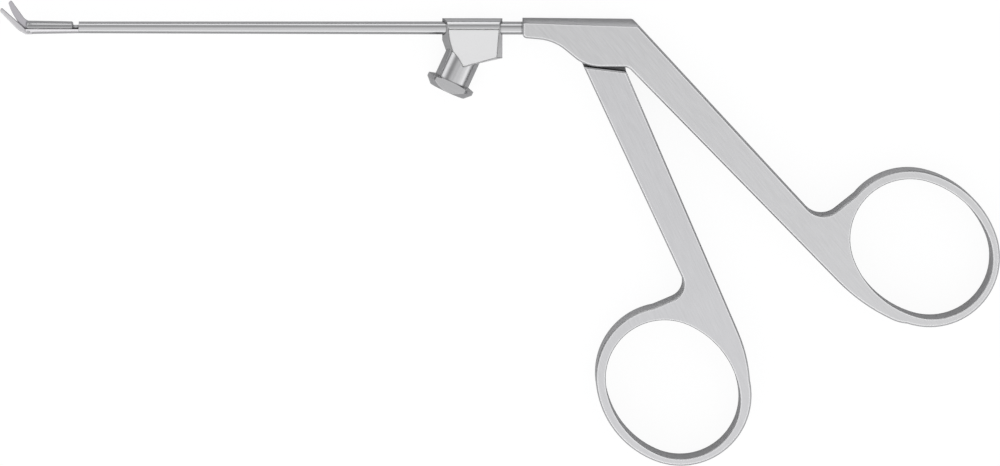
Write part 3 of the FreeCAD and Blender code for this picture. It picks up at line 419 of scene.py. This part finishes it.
# %% [markdown]
# **A second finish** is usual on one piece of steel: a level face is satin, while the walls
# and bevels round it stay bright. Two materials on one mesh could do it, but a CAD node
# keeps its mesh as it is. A mask does the same: where it is 1 the first finish stays, and
# the rest gets another colour and roughness.

# %% Second finish
LEVEL_FACE = (0.90, 0.985)      # from a slope to a face that lies level


def between(tree, factor, first, second):
    """A number that goes from first to second as the factor goes from 0 to 1."""
    node = tree.nodes.new("ShaderNodeMapRange")
    node.inputs["To Min"].default_value = first
    node.inputs["To Max"].default_value = second
    tree.links.new(factor, node.inputs["Value"])
    return node.outputs["Result"]


def levelness(steel):
    """1 on a level face, 0 on an upright wall."""
    return math_node(steel.tree, "ABSOLUTE", steel.facing["Z"], 0.0)


def second_finish(steel, mask, colour, roughness):
    """Give another colour and roughness to the steel where the mask is 0."""
    steel.colour = blend(steel.tree, mask, colour + (1,), steel.colour + (1,))
    steel.roughness = between(steel.tree, mask, roughness, steel.roughness)


print("step:", second_finish.__doc__)

# %% [markdown]
# ** Painted seam shade** uses the crevice shade group. Ambient occlusion tells how open a
# point is within the distance `reach`, which stays well under the width of the piece, so that
# only true gaps and the foot of a wall turn dark. `brighten` is the way in which later steps
# change the brightness: by a share of itself, up or down, where a mask says.

# %% Painted seam shade
SEAM_SHADE_DEPTH = 0.92
SEAM_SAMPLES = 8


def paint_seam_shade(steel, reach=0.0005):
    """Paint shade into the colour in the narrow gaps between the pieces, and near the table."""
    air = steel.tree.nodes.new("ShaderNodeAmbientOcclusion")
    air.samples = SEAM_SAMPLES
    air.inputs["Distance"].default_value = reach
    gap = place_group(steel.tree, crevice_shade, Openness=air.outputs["AO"], Up=steel.facing["Z"],
                      Depth=SEAM_SHADE_DEPTH)
    steel.brightness = math_node(steel.tree, "MULTIPLY", steel.brightness, gap["Factor"])


def brighten(steel, mask, amount):
    """Change the brightness by a share of itself, up or down, where the mask says."""
    change = math_node(steel.tree, "MULTIPLY", mask, amount)
    change = math_node(steel.tree, "ADD", change, 1.0)
    steel.brightness = math_node(steel.tree, "MULTIPLY", steel.brightness, change)


print("step:", paint_seam_shade.__doc__)

# %% [markdown]
# ** Edges** are where this script paints highlights and dark lines, which stand in for the
# light on their roundings. Painting them by hand would take a map for each piece. A Bevel
# node finds them instead: it bends the normal near an edge, so the bent normal and the true
# one agree less there. The fall of that agreement is the mask.

# %% Edges
EDGE_AGREEMENT = (0.995, 0.94)


def near_edges(steel, radius):
    """Find what lies within the radius of an edge."""
    tree = steel.tree
    bent = tree.nodes.new("ShaderNodeBevel")
    bent.inputs["Radius"].default_value = radius
    surface = tree.nodes.new("ShaderNodeNewGeometry")
    agreement = tree.nodes.new("ShaderNodeVectorMath")
    agreement.operation = "DOT_PRODUCT"
    tree.links.new(bent.outputs["Normal"], agreement.inputs[0])
    tree.links.new(surface.outputs["True Normal"], agreement.inputs[1])
    return share(tree, agreement.outputs["Value"], *EDGE_AGREEMENT)


print("step:", near_edges.__doc__)

# %% [markdown]
# **The last step** ends every recipe. No real edge is sharp, and a sharp one catches the
# light like a knife, so a Bevel node rounds each edge by the small radius `edge`. Real
# roundings on every edge would multiply the faces, and the meshes stay as they are. The
# grain is pressed in with a Bump node by the share `bump`, and the colour, the roughness
# and the normal go to the shader. `dress` then puts the finished steel on its piece.

# %% Last step
GRAIN_DEPTH = 0.00002


def finish_steel(steel, edge=0.0002, bump=0.15):
    """Round the edges, press the grain in and fill the shader's sockets."""
    tree, shader = steel.tree, steel.shader
    paint = tree.nodes.new("ShaderNodeVectorMath")
    paint.operation = "SCALE"
    feed(tree, paint.inputs[0], steel.colour)
    tree.links.new(steel.brightness, paint.inputs["Scale"])
    tree.links.new(paint.outputs["Vector"], shader.inputs["Base Color"])
    spread = math_node(tree, "ADD", steel.gloss, steel.roughness)
    tree.links.new(spread, shader.inputs["Roughness"])
    soft = tree.nodes.new("ShaderNodeBevel")
    feed(tree, soft.inputs["Radius"], edge)
    press = tree.nodes.new("ShaderNodeBump")
    press.inputs["Strength"].default_value = bump
    press.inputs["Distance"].default_value = GRAIN_DEPTH
    tree.links.new(steel.height, press.inputs["Height"])
    tree.links.new(soft.outputs["Normal"], press.inputs["Normal"])
    tree.links.new(press.outputs["Normal"], shader.inputs["Normal"])


def dress(piece, steel):
    """Put a finished steel on a piece of the instrument."""
    for slot in nodes[piece].material_slots:
        slot.material = steel.look
    print(piece, "wears", steel.look.name)


print("step:", finish_steel.__doc__)

# %% [markdown]
# ## The handles
#
# Both handles are forged, ground level on their two faces and brushed along the arm. The
# walls are smoother, and their darker grey is painted shade. The faces get a painted
# highlight next to their edges, and so do the narrow bevels, which were cut last, with a
# painted dark line on the wall beside them: these stand in for the light on the rounded
# edges. Each could be a material of its own, but the borders would be hard. As masks over
# one steel they fade into one another, and one function serves both handles.

# %% Handles
HANDLE_EDGE = 0.00015
BEVEL_FROM, BEVEL_TO = (0.50, 0.60), (0.79, 0.77)       # levelness at both sides of a bevel
WALL = (0.60, 0.52)                                     # levelness from a bevel to a wall
# Painted highlight on the face edges and on the bevels, painted shade on the walls beside them.
EDGE_HIGHLIGHT, BEVEL_HIGHLIGHT, WALL_LINE_SHADE = 0.45, 0.25, -0.65                 # brighter, brighter and darker


def satin_handle(name, colour, turn):
    """The finish of a handle, up to its last step."""
    steel = bare_steel(name, colour, roughness=0.22)
    tree = steel.tree
    work_surface(steel, along=16, turn=turn, scale=5200.0, tone=0.20, gloss=0.12)
    level = levelness(steel)
    faces = share(tree, level, *LEVEL_FACE)
    # The walls are smoother, and their darker grey is painted shade.
    second_finish(steel, faces, colour=grey(0.60), roughness=0.16)
    # Painted shade in the gaps and at the foot of the walls near the table.
    paint_seam_shade(steel, reach=0.0012)
    edges = near_edges(steel, radius=0.0004)
    # Painted highlight: the faces along their edges, then the bevels.
    brighten(steel, math_node(tree, "MULTIPLY", edges, faces), EDGE_HIGHLIGHT)
    bevels = math_node(tree, "MULTIPLY", share(tree, level, *BEVEL_FROM),
                       share(tree, level, *BEVEL_TO))
    brighten(steel, bevels, BEVEL_HIGHLIGHT)
    # Painted shade: a dark line on the walls next to the edges.
    brighten(steel, math_node(tree, "MULTIPLY", share(tree, level, *WALL), edges), WALL_LINE_SHADE)
    return steel


front = satin_handle("satin front handle", (0.70, 0.70, 0.71), turn=-64)
finish_steel(front, edge=HANDLE_EDGE)
dress("front_handle", front)

# %% [markdown]
# The rear handle carries the body, whose top is rounded off to the nose. There the steel
# flows over from the side into the crown with no edge at all. The same Bevel node does
# this, with a far larger radius above that line, where the surface is already steep.

# %% Rounded top
CROWN_LINE = 0.0034             # above this height over the pivot the top is rounded
CROWN_FADE = 0.0002
CROWN_RADIUS = 0.0026
STEEP = (0.60, 0.50)            # how far up the surface faces, from a slope to a steep one

rear = satin_handle("satin rear handle", (0.705, 0.705, 0.71), turn=-50)
above = share(rear.tree, rear.place["Y"], CROWN_LINE - CROWN_FADE, CROWN_LINE)
steep = share(rear.tree, rear.facing["Z"], *STEEP)
crown = math_node(rear.tree, "MULTIPLY", above, steep)
finish_steel(rear, edge=between(rear.tree, crown, HANDLE_EDGE, CROWN_RADIUS))
dress("rear_handle", rear)

# %% [markdown]
# ## The port
#
# The port is blasted to a pale matt grey up to the line where it wraps round the tube, and
# its rounded top is polished like the tube itself. Two materials would need a border in its
# mesh, so the place of a point chooses the finish. Next to the edges of the matt part a
# dark line is painted in as shade, and the cheek on the left is painted darker as shade,
# because it turns away from the screens.

# %% Port
SHAFT_Y = 0.0029                # the shaft's axis over the handle pivot
POLISH_LINE = SHAFT_Y + 0.00005
POLISH_FADE = 0.0001
# Painted shade: a dark line along the edges of the matt part, and a darker left cheek.
EDGE_LINE_SHADE = -0.85
CHEEK_FACING = (-0.25, -0.45)   # from a wall that faces a little left to one that does more
CHEEK_SHADE = -0.38

port = bare_steel("blasted port", (0.98, 0.98, 0.98), roughness=0.50)
work_surface(port)
blasted = share(port.tree, port.place["Y"], POLISH_LINE + POLISH_FADE,
                POLISH_LINE - POLISH_FADE)
second_finish(port, blasted, colour=grey(0.68), roughness=0.16)
paint_seam_shade(port)
# Painted shade along the edges of the matt part.
shaded_edge_line = math_node(port.tree, "MULTIPLY", near_edges(port, radius=0.0003), blasted)
brighten(port, shaded_edge_line, EDGE_LINE_SHADE)
# Painted shade on the left cheek.
brighten(port, share(port.tree, port.facing["X"], *CHEEK_FACING), CHEEK_SHADE)
finish_steel(port, edge=0.00012)
dress("port_block", port)

# %% [markdown]
# ## The socket
#
# The neck and its flange are turned on a lathe, and the tool leaves fine rings round their
# axis. Rings could be cut into a mesh, but they are far too fine for that. A grain that is
# stretched across the leaning neck gives the same soft bands.

# %% Socket
NECK_GRAIN_TURN = -27.4

socket_steel = bare_steel("turned socket", grey(0.58), roughness=0.18)
work_surface(socket_steel, along=12, around=12, turn=NECK_GRAIN_TURN, scale=5000.0, tone=0.12)
paint_seam_shade(socket_steel)
finish_steel(socket_steel, edge=0.00012)
dress("luer_hub", socket_steel)

# %% [markdown]
# ## The tube and its rod
#
# A drawn tube is smooth and mirrors the screens in long bands, with hairlines that run its
# whole length. An anisotropic shader could stretch the highlights, but on so thin a tube
# the shape does that already. We only lay a very long, faint grain along it. The rod
# inside is drawn too, and its grey is painted darker as shade, because it only shows in the
# gap behind the slider.

# %% Tube and rod
tube = bare_steel("drawn tube", grey(0.60), roughness=0.12)
work_surface(tube, along=60, scale=6000.0, tone=0.12)
paint_seam_shade(tube)
finish_steel(tube, edge=0.0001, bump=0.08)
dress("shaft_tube", tube)

# Painted shade: the rod's darker grey stands for the gap it lies in.
rod = bare_steel("drawn rod", grey(0.50), roughness=0.18)
work_surface(rod, along=50, scale=6000.0)
paint_seam_shade(rod)
finish_steel(rod)
dress("push_rod", rod)

# %% [markdown]
# ## The tip
#
# The blades are ground by hand, each along its own direction, and the slider is ground
# lengthwise. These pieces are a few millimetres long, so their grain is finer and their
# edges are rounded less. The moving blade is darker than the fixed one. The three recipes
# differ only in numbers, so they are rows of a table.

# %% Tip
TIP_STEELS = [
    # piece, name, colour, roughness, along, turn, scale, tone
    ("lower_blade", "ground blade", (0.69, 0.68, 0.695), 0.24, 6, -40, 8000.0, 0.12),
    ("upper_blade", "ground moving blade", (0.565, 0.55, 0.58), 0.26, 6, -50, 8000.0, 0.12),
    ("slider", "ground slider", grey(0.53), 0.18, 20, 0, 7000.0, 0.15),
]

for piece, name, colour, roughness, along, turn, scale, tone in TIP_STEELS:
    ground = bare_steel(name, colour, roughness)
    work_surface(ground, along=along, turn=turn, scale=scale, tone=tone)
    paint_seam_shade(ground, reach=0.0004)
    finish_steel(ground, edge=0.0001)
    dress(piece, ground)

# %% [markdown]
# ## The hidden fasteners
#
# The screw, the ball, the bush and the two pins are small turned pieces that hardly show. A
# plain bright steel would do for all of them. They still get the whole recipe, each with
# its own shine, because the screw and the pins are seen from behind. In the tightest places
# the painted seam shade reaches less far, or the whole piece would turn dark.

# %% Fasteners
FASTENER_STEELS = [
    # piece, name, grey level, roughness, reach of the painted seam shade
    ("handle_pivot_screw", "turned screw", 0.62, 0.22, 0.0005),
    ("rod_end_ball", "polished ball", 0.66, 0.12, 0.0005),
    ("rod_guide_bush", "turned bush", 0.62, 0.25, 0.00025),
    ("blade_pivot_pin", "ground pivot pin", 0.62, 0.20, 0.0002),
    ("blade_drive_pin", "ground drive pin", 0.62, 0.20, 0.0002),
]

for piece, name, level, roughness, reach in FASTENER_STEELS:
    turned = bare_steel(name, grey(level), roughness)
    work_surface(turned)
    paint_seam_shade(turned, reach=reach)
    finish_steel(turned)
    dress(piece, turned)

# %% [markdown]
# ## Output
#
# The Standard view shows colours as they are written.

# %% Finish
bpy.context.scene.view_settings.view_transform = "Standard"
print("materials:", len(bpy.data.materials))
